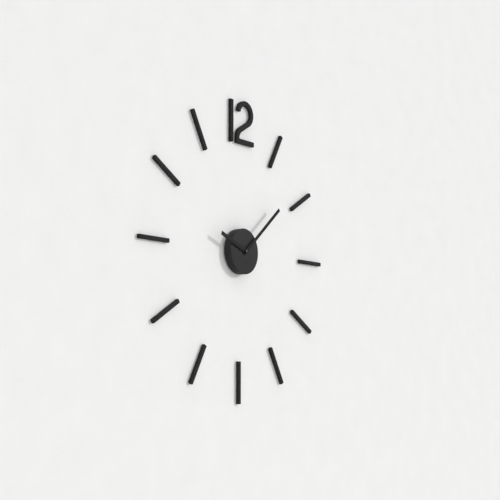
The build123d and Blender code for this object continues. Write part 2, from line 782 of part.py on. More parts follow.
magnet_back = stator_back - magnet_stand_out
magnet_thickness = stator_thickness + 2 * magnet_stand_out
rotor_pinion_front = fifth_back + wheel + wheel_gap
with BuildPart() as rotor_shaft:
    extrude(
        gear(rotor_pinion_back, rotor_at, teeth_rotor, rotor_module, rotor_phase),
        amount=rotor_pinion_front - rotor_pinion_back,
    )
    extrude(disc(arbor_back, rotor_at, fine_arbor_radius), amount=bridge_front - wheel_gap - arbor_back)
    extrude(disc(rotor_pinion_front, rotor_at, magnet_bore), amount=magnet_back + magnet_thickness
            - rotor_pinion_front)
save(rotor_shaft.part, "rotor_shaft")

with BuildPart() as rotor_magnet:
    extrude(disc(magnet_back, rotor_at, magnet_radius), amount=magnet_thickness)
    extrude(disc(magnet_back, rotor_at, magnet_bore), amount=magnet_thickness, mode=Mode.SUBTRACT)
save(rotor_magnet.part, "rotor_magnet")

# ---------------------------------------------------------------- motor: stator, coil core, bobbin, winding
coil_middle = rotor_at[0]
core_depth = stator_back + stator_thickness
leg_half = stator_leg / 2
core_half = stator_half_span + leg_half
leg_low = rotor_at[1] + stator_bar_rise - stator_bar / 2
leg_high = coil_height + core_width / 2 + leg_overreach
with BuildPart() as stator:
    with BuildSketch(Plane.XZ.offset(stator_back)):
        with Locations(rotor_at):
            Circle(stator_hole_radius + stator_ring)
        with Locations((coil_middle, rotor_at[1] + stator_bar_rise)):
            Rectangle(2 * core_half, stator_bar)
        for post in stator_posts:
            with Locations((post[0], (leg_low + leg_high) / 2)):
                Rectangle(stator_leg, leg_high - leg_low)
        with Locations(rotor_at):
            Circle(stator_hole_radius, mode=Mode.SUBTRACT)
        with Locations(*stator_posts):
            Circle(pin_radius + pin_fit, mode=Mode.SUBTRACT)
    extrude(amount=stator_thickness)
save(stator.part, "stator")

with BuildPart() as coil_core:
    extrude(
        block(core_depth, coil_middle - core_half, coil_middle + core_half, coil_height - core_width / 2,
              coil_height + core_width / 2),
        amount=stator_thickness,
    )
save(coil_core.part, "coil_core")

coil_depth = core_depth + stator_thickness / 2
bobbin_half = coil_length / 2 + flange_thickness
bobbin_plane = Plane.YZ.offset(coil_middle - bobbin_half)
with BuildPart() as coil_bobbin:
    for start, length, radius in (
        (0, 2 * bobbin_half, bobbin_radius),
        (0, flange_thickness, flange_radius),
        (2 * bobbin_half - flange_thickness, flange_thickness, flange_radius),
    ):
        with BuildSketch(bobbin_plane.offset(start)):
            with Locations((-coil_depth, coil_height)):
                Circle(radius)
        extrude(amount=length)
    extrude(
        block(core_depth, coil_middle - bobbin_half, coil_middle + bobbin_half, coil_height - core_width / 2,
              coil_height + core_width / 2),
        amount=stator_thickness,
        mode=Mode.SUBTRACT,
    )
save(coil_bobbin.part, "coil_bobbin")

with BuildPart() as coil_winding:
    with BuildSketch(bobbin_plane.offset(flange_thickness)):
        with Locations((-coil_depth, coil_height)):
            Circle(coil_radius)
            Circle(bobbin_radius, mode=Mode.SUBTRACT)
    extrude(amount=coil_length)
save(coil_winding.part, "coil_winding")

# ---------------------------------------------------------------- circuit
with BuildPart() as circuit_board:
    extrude(block(board_back, board_left, board_right, board_low, board_high), amount=board_thickness)
    for post in board_posts:
        extrude(disc(board_back, post, pin_radius + pin_fit), amount=board_thickness, mode=Mode.SUBTRACT)
save(circuit_board.part, "circuit_board")

crystal_at = (board_left + crystal_inset[0], board_low + crystal_inset[1])
with BuildPart() as quartz_crystal:
    with BuildSketch(Plane.YZ.offset(crystal_at[0])):
        with Locations((-(board_back - crystal_radius), crystal_at[1])):
            Circle(crystal_radius)
    extrude(amount=crystal_length)
save(quartz_crystal.part, "quartz_crystal")

with BuildPart() as clock_chip:
    chip_left = (board_left + board_right - chip_size) / 2
    chip_high = board_high - chip_inset
    extrude(
        block(board_back - chip_thickness, chip_left, chip_left + chip_size, chip_high - chip_size, chip_high),
        amount=chip_thickness,
    )
    chamfer(clock_chip.faces().sort_by(Axis.Y)[-1].edges(), chip_edge)
save(clock_chip.part, "clock_chip")

# ---------------------------------------------------------------- cell and contacts
with BuildPart() as battery_cell:
    with BuildSketch(Plane.YZ.offset(cell_left)):
        with Locations((-cell_depth, cell_height)):
            Circle(cell_radius)
    extrude(amount=cell_length - nub_length)
    fillet(battery_cell.edges(), can_edge_radius)
    with BuildSketch(Plane.YZ.offset(cell_left + cell_length - nub_length)):
        with Locations((-cell_depth, cell_height)):
            Circle(nub_radius)
    extrude(amount=nub_length)
    fillet(battery_cell.faces().sort_by(Axis.X)[-1].edges(), nub_edge_radius)
save(battery_cell.part, "battery_cell")

contact_in = case_inner - contact_thickness
tongue_depth = board_back + board_thickness
tongue_low = board_low + tongue_rise
tongue_high = tongue_low + tongue_width
with BuildPart() as contact_positive:
    extrude(
        block(cell_depth - contact_half, contact_in, case_inner, cell_height - contact_half, ledge_bottom),
        amount=2 * contact_half,
    )
    extrude(
        block(positive_strip_depth, contact_in, case_inner, cell_height, tongue_high), amount=strip_width
    )
    extrude(
        block(tongue_depth, board_right - tongue_lap, case_inner, tongue_low, tongue_high),
        amount=contact_thickness,
    )
save(contact_positive.part, "contact_positive")

spring_start = -contact_in + spring_wire_radius - spring_seat
spring_height = cell_left - contact_gap - spring_wire_radius - spring_start
strip_corner = case_corner - case_wall
plate_back = cell_depth - contact_half
plate_front = max(cell_depth + contact_half, negative_strip_depth + strip_lap)
strip_right = board_right - strip_inset
strip_left = strip_right - strip_width
with BuildPart() as contact_negative:
    extrude(
        block(plate_back, -case_inner, -contact_in, cell_height - contact_half, ledge_bottom),
        amount=plate_front - plate_back,
    )
    # strip up the left wall, round the corner and along the top wall
    with BuildSketch(Plane.XZ.offset(negative_strip_depth)):
        with BuildLine() as strip:
            middle = case_inner - contact_thickness / 2
            bend = case_inner - strip_corner
            Line((-middle, cell_height), (-middle, bend))
            CenterArc((-bend, bend), strip_corner - contact_thickness / 2, 180, -90)
            Line((-bend, middle), (strip_right, middle))
        trace(strip.line, line_width=contact_thickness)
    extrude(amount=strip_width)
    extrude(
        block(tongue_depth, strip_left, strip_right, contact_in, case_inner),
        amount=negative_strip_depth - tongue_depth,
    )
    extrude(
        block(tongue_depth, strip_left, strip_right, board_high - top_tongue_lap, case_inner),
        amount=contact_thickness,
    )
    # coil spring
    with BuildLine() as coil:
        Helix(
            pitch=spring_height / spring_turns,
            height=spring_height,
            radius=spring_radius,
            center=(spring_start, -cell_depth, cell_height),
            direction=(1, 0, 0),
        )
    with BuildSketch(Plane(origin=coil.line @ 0, z_dir=coil.line % 0)):
        Circle(spring_wire_radius)
    sweep(path=coil.line)
save(contact_negative.part, "contact_negative")
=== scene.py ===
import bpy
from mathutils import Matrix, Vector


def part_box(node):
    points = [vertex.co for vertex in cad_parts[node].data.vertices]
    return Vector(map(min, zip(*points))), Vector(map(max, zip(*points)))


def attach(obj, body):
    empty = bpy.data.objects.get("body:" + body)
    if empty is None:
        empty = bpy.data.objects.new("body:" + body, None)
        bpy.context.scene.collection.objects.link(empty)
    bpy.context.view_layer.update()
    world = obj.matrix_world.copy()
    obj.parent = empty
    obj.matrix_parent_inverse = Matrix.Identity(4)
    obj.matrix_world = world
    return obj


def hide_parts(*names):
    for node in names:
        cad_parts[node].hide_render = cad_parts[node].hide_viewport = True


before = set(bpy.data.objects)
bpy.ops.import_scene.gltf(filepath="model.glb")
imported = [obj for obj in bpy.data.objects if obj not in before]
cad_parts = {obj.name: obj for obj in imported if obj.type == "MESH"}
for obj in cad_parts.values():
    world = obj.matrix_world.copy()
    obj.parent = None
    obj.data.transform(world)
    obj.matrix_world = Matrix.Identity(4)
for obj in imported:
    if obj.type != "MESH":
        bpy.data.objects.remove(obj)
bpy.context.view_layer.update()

from math import acos, asin, atan2, cos, pi, radians, sin

import bmesh
import bpy
from mathutils import Matrix, Vector

scene = bpy.context.scene

# ---------------------------------------------------------------------------------------------------
# Hour markers: eleven separate bars, injection moulded in charcoal ABS with a fine matt texture. Each
# has softened front edges, a slight draft, and a shallow pocket in its back for the foam tape.
MM = 0.001
TURN = 2 * pi
SHARP = radians(35)   # faces that meet at more than this keep a crisp edge
SQUARE = radians(60)  # more than a round's facets ever turn, less than a corner
HAIR = 0.01 * MM      # closer than this counts as the same place
FACING = 0.99         # least share of a normal that looks straight at the wall
ALONG_Y = (0, 1, 0)
NOISE_LOW, NOISE_HIGH = 0.35, 0.65  # nearly all of a noise texture's values lie between these
BLOTCH = 0.06                       # the broad mottling repeats this many times per fine grain


def linear(colour):
    """An sRGB hex colour as linear red, green, blue and alpha."""
    channels = [int(colour[start : start + 2], 16) / 255 for start in (1, 3, 5)]
    return [c / 12.92 if c <= 0.04045 else ((c + 0.055) / 1.055) ** 2.4 for c in channels] + [1.0]


def node(tree, kind, values=None, links=None, **settings):
    """Adds a shader node with its settings, socket values and incoming links."""
    made = tree.nodes.new(kind)
    for name, value in settings.items():
        setattr(made, name, value)
    for socket, value in (values or {}).items():
        made.inputs[socket].default_value = value
    for socket, source in (links or {}).items():
        tree.links.new(source, made.inputs[socket])
    return made


def finish_of(name, dark, light, grain, relief, gloss, stretch=(1, 1, 1), **sockets):
    """A surface mottled between two colours, with a grain and its relief in mm and a roughness range."""
    material = bpy.data.materials.new(name)
    material.use_nodes = True
    tree = material.node_tree
    shader = tree.nodes["Principled BSDF"]
    for socket, value in sockets.items():
        shader.inputs[socket.replace("_", " ")].default_value = value
    place = node(tree, "ShaderNodeTexCoord")
    along = node(tree, "ShaderNodeMapping", {"Scale": stretch}, {"Vector": place.outputs["Object"]})
    grains_per_metre = 1 / (grain * MM)
    at = {"Vector": along.outputs["Vector"]}
    fine, broad = (
        node(tree, "ShaderNodeTexNoise", {"Scale": scale, "Detail": detail}, at)
        for scale, detail in ((grains_per_metre, 3.0), (BLOTCH * grains_per_metre, 2.0))
    )
    cloud = node(
        tree, "ShaderNodeMath", links={0: fine.outputs["Fac"], 1: broad.outputs["Fac"]}, operation="ADD"
    )
    tone = node(
        tree,
        "ShaderNodeMapRange",
        {"From Min": 2 * NOISE_LOW, "From Max": 2 * NOISE_HIGH},
        {"Value": cloud.outputs["Value"]},
    )
    colour = node(tree, "ShaderNodeValToRGB", links={"Fac": tone.outputs["Result"]})
    colour.color_ramp.elements[0].color = linear(dark)
    colour.color_ramp.elements[1].color = linear(light)
    dull = node(
        tree,
        "ShaderNodeMapRange",
        {"From Min": NOISE_LOW, "From Max": NOISE_HIGH, "To Min": gloss[0], "To Max": gloss[1]},
        {"Value": fine.outputs["Fac"]},
    )
    bump = node(tree, "ShaderNodeBump", {"Distance": relief * MM}, {"Height": fine.outputs["Fac"]})
    tree.links.new(colour.outputs["Color"], shader.inputs["Base Color"])
    tree.links.new(dull.outputs["Result"], shader.inputs["Roughness"])
    tree.links.new(bump.outputs["Normal"], shader.inputs["Normal"])
    return material


def size_of(name):
    """Lowest corner, highest corner and size of a CAD node."""
    low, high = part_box(name)
    return low, high, high - low


def soften(bm, radius, segments, chosen=None, sharpest=30):
    """Rounds the chosen edges, or every edge sharper than an angle."""
    edges = chosen if chosen is not None else [
        e for e in bm.edges if len(e.link_faces) == 2 and e.calc_face_angle(0) > radians(sharpest)
    ]
    bmesh.ops.bevel(
        bm,
        geom=edges,
        offset=radius,
        offset_type="OFFSET",
        segments=segments,
        profile=0.5,
        affect="EDGES",
        material=-1,
        clamp_overlap=True,
    )


def pocket(bm, margin, depth):
    """Sinks a flat pocket into the faces that look at the wall."""
    backs = [f for f in bm.faces if f.normal.y > FACING]
    slope = 0.02 * MM
    bmesh.ops.inset_region(bm, faces=backs, thickness=margin, depth=0, use_even_offset=True)
    bmesh.ops.inset_region(bm, faces=backs, thickness=slope, depth=-depth, use_even_offset=False)


def piece(name, bm, material, body, slot, *stands_for):
    """Makes an object from its bmesh, smooth but for its sharp edges, and hangs it on its body."""
    mesh = bpy.data.meshes.new(name)
    bm.to_mesh(mesh)
    bm.free()
    mesh.shade_smooth()
    mesh.set_sharp_from_angle(angle=SHARP)
    mesh.materials.append(material)
    made = bpy.data.objects.new(name, mesh)
    scene.collection.objects.link(made)
    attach(made, body)
    if stands_for:
        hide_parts(*stands_for)
    return made


# Charcoal ABS off a spark-eroded mould: near black, matt, with a faint grey bloom. The real grain is
# about 0.1 mm, and it is drawn at 0.7 mm so that it shows.
charcoal_abs = finish_of(
    "charcoal_abs_matt_moulded", "#1F1F20", "#2A2A2A", grain=0.7, relief=0.012, gloss=(0.6, 0.78),
    Specular_IOR_Level=0.12,
)

stick_low, stick_high, stick = size_of("marker_03")
stick_edge = 0.45 * MM
edge_steps = 4
stick_draft = 0.985
tape_margin = 1.0 * MM
tape_pocket = 0.4 * MM


def bar_mesh(size, centre):
    """A moulded bar of that size, round-edged towards the front, with its tape pocket."""
    bm = bmesh.new()
    bmesh.ops.create_cube(bm, size=1.0)
    bmesh.ops.scale(bm, vec=size, verts=bm.verts)
    fronts = [v for v in bm.verts if v.co.y < 0]
    bmesh.ops.scale(bm, vec=(1 - (1 - stick_draft) * size.z / size.x, 1, stick_draft), verts=fronts)
    pocket(bm, tape_margin, tape_pocket)
    rounded = [e for e in bm.edges if all(abs(v.co.y) > size.y / 2 - HAIR for v in e.verts)]
    rounded = [e for e in rounded if min(v.co.y for v in e.verts) < 0]
    soften(bm, stick_edge, edge_steps, rounded)
    bmesh.ops.translate(bm, vec=centre, verts=bm.verts)
    return bm


stick_middle = (stick_low + stick_high) / 2
for hour in range(1, 12):
    bar = bar_mesh(stick, stick_middle)
    clock_angle = TURN * (hour - 3) / 12
    bmesh.ops.rotate(bar, cent=(0, 0, 0), matrix=Matrix.Rotation(clock_angle, 3, "Y"), verts=bar.verts)
    marker = f"marker_{hour:02d}"
    piece(f"bar_{hour:02d}", bar, charcoal_abs, "root", "marker_plastic", marker)

# ---------------------------------------------------------------------------------------------------
# Numeral twelve: a 1 and a 2 of the same moulded ABS as the bars, bolder in the stroke. The 2 is one
# stroke of even width: a round top, a straight diagonal, a bend into its foot, and a level base bar.
one_low, one_high, one = size_of("numeral_one")
one_mesh = bar_mesh(one, (one_low + one_high) / 2)
piece("numeral_1", one_mesh, charcoal_abs, "root", "marker_plastic", "numeral_one")

two_low, two_high, _ = size_of("numeral_two")
half_stroke = 4.2 * MM
bowl_radius = 18.6 * MM
bowl_start = radians(172)
foot_rise = 9.5 * MM
foot_radius = 17.0 * MM
hollow_radius = 1.0 * MM
heel_radius = 1.2 * MM
bowl = Vector((16.3 * MM, 0, two_high.z - half_stroke - bowl_radius))
foot_x = two_low.x + half_stroke
bend = Vector((foot_x + foot_radius, 0, two_low.z + foot_rise))
between = bend - bowl
opening = acos((bowl_radius + foot_radius) / between.length)
lean = atan2(between.z, between.x) + opening
bowl_steps = 40
foot_steps = 18
corner_steps = 8


def swept_round(bm, ring, centre, angle, steps):
    """Spins a ring of edges about a centre, in the wall's plane, and returns the far ring."""
    start = ring + list(dict.fromkeys(v for e in ring for v in e.verts))
    spun = bmesh.ops.spin(bm, geom=start, cent=centre, axis=ALONG_Y, angle=angle, steps=steps)
    return [part for part in spun["geom_last"] if isinstance(part, bmesh.types.BMEdge)]


def swept_straight(bm, ring, move):
    """Pulls a ring of edges out by a function of each corner's place, and returns the far ring."""
    far = bmesh.ops.extrude_edge_only(bm, edges=ring)["geom"]
    for corner in far:
        if isinstance(corner, bmesh.types.BMVert):
            corner.co = move(corner.co)
    return [part for part in far if isinstance(part, bmesh.types.BMEdge)]


stroke = bmesh.new()
corners = []
for across, deep in ((-1, two_high.y), (1, two_high.y), (1, two_low.y), (-1, two_low.y)):
    reach = bowl_radius + across * half_stroke
    corner = (bowl.x + reach * cos(bowl_start), deep, bowl.z + reach * sin(bowl_start))
    corners.append(stroke.verts.new(corner))
terminal = [stroke.edges.new((corners[k - 1], corners[k])) for k in range(4)]
foot_line = two_low.z + half_stroke
run = Vector((sin(lean), 0, -cos(lean))) * between.length * sin(opening)
ring = swept_round(stroke, terminal, bowl, bowl_start - lean, bowl_steps)
ring = swept_straight(stroke, ring, lambda at: at + run)
ring = swept_round(stroke, ring, bend, lean, foot_steps)
heel = swept_straight(stroke, ring, lambda at: Vector((at.x, at.y, foot_line + at.x - foot_x)))
ring = swept_straight(stroke, heel, lambda at: Vector((two_high.x, at.y, at.z)))
bmesh.ops.contextual_create(stroke, geom=terminal)
bmesh.ops.contextual_create(stroke, geom=ring)
bmesh.ops.recalc_face_normals(stroke, faces=stroke.faces)
pocket(stroke, tape_margin, tape_pocket)
upright = [e for e in heel if abs(e.verts[0].co.y - e.verts[1].co.y) > half_stroke]
for edge in sorted(upright, key=lambda e: e.verts[0].co.x)[::-1]:
    soften(stroke, hollow_radius if edge.verts[0].co.x > foot_x else heel_radius, corner_steps, [edge])
front_edges = [
    e
    for e in stroke.edges
    if len(e.link_faces) == 2
    and e.calc_face_angle(0) > SHARP
    and min(v.co.y for v in e.verts) < two_low.y + HAIR
]
soften(stroke, stick_edge, edge_steps, front_edges)
piece("numeral_2", stroke, charcoal_abs, "root", "marker_plastic", "numeral_two")

# ---------------------------------------------------------------------------------------------------
# Foam tape: die-cut pads of white closed-cell polyethylene foam, sticky on both faces, that hold the
# bars and the numeral to the wall. Their cut edges show the cells.


def dress(material, *names):
    """Gives CAD nodes whose shape is right their material."""
    for name in names:
        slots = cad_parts[name].data.materials
        slots.clear()
        slots.append(material)


# White foam: soft and chalky, pitted by cells of about 0.3 mm.
foam = finish_of(
    "white_pe_foam_tape", "#D8D7D2", "#F1F0EC", grain=0.3, relief=0.08, gloss=(0.8, 0.95),
    Specular_IOR_Level=0.25,
)
dress(foam, "marker_pads", "numeral_pads")

# ---------------------------------------------------------------------------------------------------
# Hub cover: a drum of satin charcoal ABS, moulded in one with four ribs inside that keep it square to
# the movement. It is open to the wall, and the bush clamps it to the movement's front.


def lathe(profile, steps=160):
    """Turns a closed profile of (radius, depth) points in metres about the dial's axis."""
    bm = bmesh.new()
    points = [bm.verts.new((radius, -depth, 0)) for radius, depth in profile]
    edges = [bm.edges.new((points[k - 1], points[k])) for k in range(len(points))]
    bmesh.ops.spin(
        bm, geom=points + edges, cent=(0, 0, 0), axis=ALONG_Y, angle=TURN, steps=steps, use_merge=True
    )
    bmesh.ops.remove_doubles(bm, verts=bm.verts, dist=0.1 * HAIR)
    bmesh.ops.delete(bm, geom=[e for e in bm.edges if not e.link_faces], context="EDGES")
    bmesh.ops.recalc_face_normals(bm, faces=bm.faces)
    return bm


def box_of(bm, low, high):
    """Adds a block between two corners."""
    made = bmesh.ops.create_cube(bm, size=1.0)["verts"]
    bmesh.ops.scale(bm, vec=high - low, verts=made)
    bmesh.ops.translate(bm, vec=(low + high) / 2, verts=made)
    return made


cover_low, cover_high, cover = size_of("hub_cover")
gasket_low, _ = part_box("rubber_gasket")
_, case_high, _ = size_of("movement_case_front")
cover_radius = cover.x / 2
cover_wall = 1.0 * MM
cover_edge = 0.45 * MM
cover_hole = 4.1 * MM
cover_front = -cover_low.y
cover_rim = -cover_high.y
cover_inside = -gasket_low.y
rib = Vector((1.2, 2.6, 20.0)) * MM
rib_clearance = 0.1 * MM
rib_out = case_high.x + rib_clearance

drum = lathe(
    [
        (cover_hole, cover_front),
        (cover_radius, cover_front),
        (cover_radius, cover_rim),
        (cover_radius - cover_wall, cover_rim),
        (cover_radius - cover_wall, cover_inside),
        (cover_hole, cover_inside),
    ]
)
outer_edges = [
    e for e in drum.edges if e.calc_face_angle(0) > SHARP and e.verts[0].co.xz.length > cover_radius - HAIR
]
soften(drum, cover_edge, edge_steps, outer_edges)
for quarter in range(4):
    made = box_of(
        drum,
        Vector((rib_out, -cover_inside, -rib.z / 2)),
        Vector((rib_out + rib.x, -cover_inside + rib.y, rib.z / 2)),
    )
    bmesh.ops.rotate(drum, cent=(0, 0, 0), matrix=Matrix.Rotation(TURN * quarter / 4, 3, "Y"), verts=made)

# Satin ABS: an even, low sheen over near black, with the faintest orange peel, about 1.2 mm across.
cover_abs = finish_of(
    "charcoal_abs_satin_moulded", "#292828", "#302F2F", grain=1.2, relief=0.01, gloss=(0.5, 0.6),
    Specular_IOR_Level=0.12,
)
piece("cover_drum", drum, cover_abs, "root", "cover_plastic", "hub_cover")

# ---------------------------------------------------------------------------------------------------
# Bush fixings: a brass bush with a rolled thread passes through the movement's front, a rubber
# gasket, the cover and a thin washer, and a blackened hexagon nut clamps them together.
gasket_rubber = finish_of(
    "black_nitrile_rubber", "#0E0E0E", "#1A1A19", grain=0.5, relief=0.02, gloss=(0.75, 0.9),
    Specular_IOR_Level=0.3,
)
ring_steps = 96


def ring_of(name, edge, segments):
    """A flat ring as large as its CAD node, with the cover's hole through it and its edges broken."""
    low, high, size = size_of(name)
    outer = size.x / 2
    bm = lathe(
        [(cover_hole, -high.y), (outer, -high.y), (outer, -low.y), (cover_hole, -low.y)], ring_steps
    )
    soften(bm, edge, segments)
    return bm


gasket_bm = ring_of("rubber_gasket", edge=0.12 * MM, segments=3)
piece("gasket_ring", gasket_bm, gasket_rubber, "root", "gasket_rubber", "rubber_gasket")

washer_bm = ring_of("bush_washer", edge=0.08 * MM, segments=2)
# Chemically blackened steel: a dark oxide skin with a dull oily sheen.
blackened = finish_of(
    "blackened_steel", "#161617", "#242426", grain=0.4, relief=0.006, gloss=(0.35, 0.5), Metallic=0.7
)
piece("washer_ring", washer_bm, blackened, "root", "black_nut", "bush_washer")
dress(blackened, "bush_nut")

bush_low, bush_high, bush = size_of("threaded_bush")
bore = 2.55 * MM
thread_pitch = 0.5 * MM
thread_depth = 0.25 * MM
thread_run_out = 0.3 * MM
shank = 3.9 * MM
bush_steps = 72
flange = 0.6 * MM
flange_front = -bush_high.y + flange
profile = [(bore, -bush_high.y), (bush.x / 2, -bush_high.y), (bush.x / 2, flange_front)]
thread_start = flange_front + cover_wall
turns = int((-bush_low.y - thread_run_out - thread_start) / thread_pitch)
profile.append((shank, flange_front))
for turn in range(turns):
    base = thread_start + turn * thread_pitch
    profile += [(shank, base), (shank - thread_depth, base + thread_pitch / 2)]
profile += [
    (shank, thread_start + turns * thread_pitch),
    (shank - thread_depth, -bush_low.y),
    (bore, -bush_low.y),
]
brass = finish_of(
    "turned_brass", "#A98443", "#C9A45C", grain=0.35, relief=0.006, gloss=(0.22, 0.36),
    stretch=(1, 14, 1), Metallic=1.0,
)
piece("bush_thread", lathe(profile, bush_steps), brass, "root", "bush_brass", "threaded_bush")

# ---------------------------------------------------------------------------------------------------
# Hands: straight bars blanked from 0.5 mm aluminium sheet, with a round eye at the shaft, then sprayed
# with black lacquer. The hour hand presses onto its tube, and the minute hand sits on two flats.
hand_edge = 0.12 * MM
eye_steps = 56
hole_steps = 40
facing_front = Matrix.Rotation(radians(90), 4, "X")


def hand_mesh(name, angle, length, width, eye, hole):
    """A flat bar with an eye and a hole, edges broken on the front, turned to its clock angle."""
    low, high, _ = size_of(name)
    bm = bmesh.new()
    root = bm.verts.new((eye * cos(asin(width / 2 / eye)), high.y, width / 2))
    arc = bmesh.ops.spin(
        bm,
        geom=[root],
        cent=(0, 0, 0),
        axis=ALONG_Y,
        angle=-(TURN - 2 * asin(width / 2 / eye)),
        steps=eye_steps,
    )
    last = next(part for part in arc["geom_last"] if isinstance(part, bmesh.types.BMVert))
    tips = [bm.verts.new((length, high.y, v.co.z)) for v in (root, last)]
    for pair in ((root, tips[0]), (tips[0], tips[1]), (tips[1], last)):
        bm.edges.new(pair)
    back = Matrix.Translation((0, high.y, 0)) @ facing_front
    bmesh.ops.create_circle(bm, cap_ends=False, radius=hole, segments=hole_steps, matrix=back)
    bmesh.ops.triangle_fill(bm, edges=bm.edges, use_beauty=True)
    bmesh.ops.recalc_face_normals(bm, faces=bm.faces)
    pulled = bmesh.ops.extrude_face_region(bm, geom=bm.faces, use_keep_orig=True)["geom"]
    front = [v for v in pulled if isinstance(v, bmesh.types.BMVert)]
    bmesh.ops.translate(bm, vec=(0, low.y - high.y, 0), verts=front)
    bmesh.ops.recalc_face_normals(bm, faces=bm.faces)
    rim = [
        e
        for e in bm.edges
        if e.calc_face_angle(0) > SQUARE and max(v.co.y for v in e.verts) < high.y - hand_edge
    ]
    soften(bm, hand_edge, 3, rim)
    clock_turn = Matrix.Rotation(radians(angle - 90), 3, "Y")
    bmesh.ops.rotate(bm, cent=(0, 0, 0), matrix=clock_turn, verts=bm.verts)
    return bm


# Black lacquer on aluminium: smooth but dull, so the bars stay near black from every side.
lacquer = finish_of(
    "black_lacquered_aluminium", "#181818", "#212121", grain=0.9, relief=0.006, gloss=(0.4, 0.5),
    Specular_IOR_Level=0.08,
)
minute_mesh = hand_mesh(
    "minute_hand", angle=50.0, length=128.5 * MM, width=6.0 * MM, eye=3.6 * MM, hole=1.6 * MM
)
piece("minute_bar", minute_mesh, lacquer, "minute", "hand_aluminium", "minute_hand")
hour_mesh = hand_mesh(
    "hour_hand", angle=-70.0, length=71.3 * MM, width=7.0 * MM, eye=4.6 * MM, hole=2.5 * MM
)
piece("hour_bar", hour_mesh, lacquer, "hour", "hand_aluminium", "hour_hand")

# The hands' nut: turned brass under black nickel, with a domed cap and a coarse knurl for the fingers.
cap_low, cap_high, cap = size_of("hand_nut")
cap_radius = cap.x / 2
cap_back, cap_front = -cap_high.y, -cap_low.y
knurls = 28
knurl_groove = 0.07         # as a share of the radius
knurl_chamfer = 0.12 * MM
knurl_top = cap_back + 0.75 * MM
dome_base = cap_back + 0.9 * MM
dome_radius = cap_radius * 0.92
foot_of_cap = cap_radius * 0.9
dome_step = 15              # degrees
dome = [
    (dome_radius * cos(radians(step)), dome_base + (cap_front - dome_base) * sin(radians(step)))
    for step in range(0, 90, dome_step)
]
cap_bm = lathe(
    [
        (0, cap_back),
        (foot_of_cap, cap_back),
        (cap_radius, cap_back + knurl_chamfer),
        (cap_radius, knurl_top),
        *dome,
        (0, cap_front),
    ],
    2 * knurls,
)
for v in cap_bm.verts:
    column = round(atan2(v.co.z, v.co.x) * 2 * knurls / TURN)
    if v.co.xz.length > cap_radius - HAIR and column % 2:
        v.co.x *= 1 - knurl_groove
        v.co.z *= 1 - knurl_groove
# Black nickel: a dark mirror, so the dome shows one small grey glint.
black_nickel = finish_of(
    "black_nickel_plate", "#4C4B4A", "#6A6866", grain=0.5, relief=0.003, gloss=(0.2, 0.32), Metallic=1.0
)
piece("hand_cap", cap_bm, black_nickel, "minute", "nickel_plate", "hand_nut")

# ---------------------------------------------------------------------------------------------------
# Movement case: two shells moulded in black ABS. The front shell holds the posts and the battery bay,
# and the rear cover snaps in behind the wheels and carries the hanger tab for a nail.

# Black ABS from an eroded mould: shinier than the bars. Its grain of about 0.25 mm is drawn at 0.45 mm.
case_abs = finish_of(
    "black_abs_eroded", "#101011", "#1B1B1C", grain=0.45, relief=0.03, gloss=(0.42, 0.6),
    Specular_IOR_Level=0.5, IOR=1.5,
)
dress(case_abs, "movement_case_front", "movement_case_rear")

# Marks on the rear cover: two arrows round the setting knob, and a plus and a minus by the cell. They
# are raised a little and topped with white pad-printing ink, thick and slightly patchy.
knob_low, knob_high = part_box("set_knob")
knob_middle = (knob_low + knob_high) / 2
mark_root = 0.2 * MM
mark_rise = 0.12 * MM
mark_half = 0.35 * MM
arrow_radius = 7.2 * MM
arrow_start = 32
arrow_end = 108
arrow_step = 4
arrow_point = 18
arrow_barb = 1.1 * MM
sign_half = 1.3 * MM
sign_x = 21.0 * MM
sign_rise = 4.2 * MM
sign_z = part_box("battery_cell")[1].z + sign_rise


def raised(bm, outline):
    """A raised mark on the rear cover's back face, from its outline as (x, z) points."""
    sunk = bm.faces.new([bm.verts.new((x, -mark_root, z)) for x, z in outline])
    pulled = bmesh.ops.extrude_face_region(bm, geom=[sunk], use_keep_orig=True)["geom"]
    top = [part for part in pulled if isinstance(part, bmesh.types.BMVert)]
    bmesh.ops.translate(bm, vec=(0, mark_root + mark_rise, 0), verts=top)


def round_knob(radius, degrees):
    """A point round the setting knob's centre."""
    return knob_middle.x + radius * cos(radians(degrees)), knob_middle.z + radius * sin(radians(degrees))


marks = bmesh.new()
for half_turn in (0, 180):
    start, end = half_turn + arrow_start, half_turn + arrow_end
    sweep = range(start, end + 1, arrow_step)
    raised(
        marks,
        [round_knob(arrow_radius + mark_half, at) for at in sweep]
        + [round_knob(arrow_radius + arrow_barb, end), round_knob(arrow_radius, end + arrow_point)]
        + [round_knob(arrow_radius - arrow_barb, end)]
        + [round_knob(arrow_radius - mark_half, at) for at in reversed(sweep)],
    )
quarter_of_plus = ((sign_half, mark_half), (mark_half, mark_half), (mark_half, sign_half))
plus = []
for quarter in range(4):
    spin = Matrix.Rotation(TURN * quarter / 4, 2)
    plus += [spin @ Vector(corner) for corner in quarter_of_plus]
raised(marks, [(sign_x + corner.x, sign_z + corner.y) for corner in plus])
minus = ((sign_half, -mark_half), (sign_half, mark_half), (-sign_half, mark_half), (-sign_half, -mark_half))
raised(marks, [(x - sign_x, sign_z + z) for x, z in minus])
bmesh.ops.recalc_face_normals(marks, faces=marks.faces)
ink = finish_of(
    "white_pad_print_ink", "#B5B5B2", "#D4D4D1", grain=0.3, relief=0.012, gloss=(0.45, 0.6),
    Specular_IOR_Level=0.3,
)
piece("rear_marks", marks, ink, "root", "case_plastic")

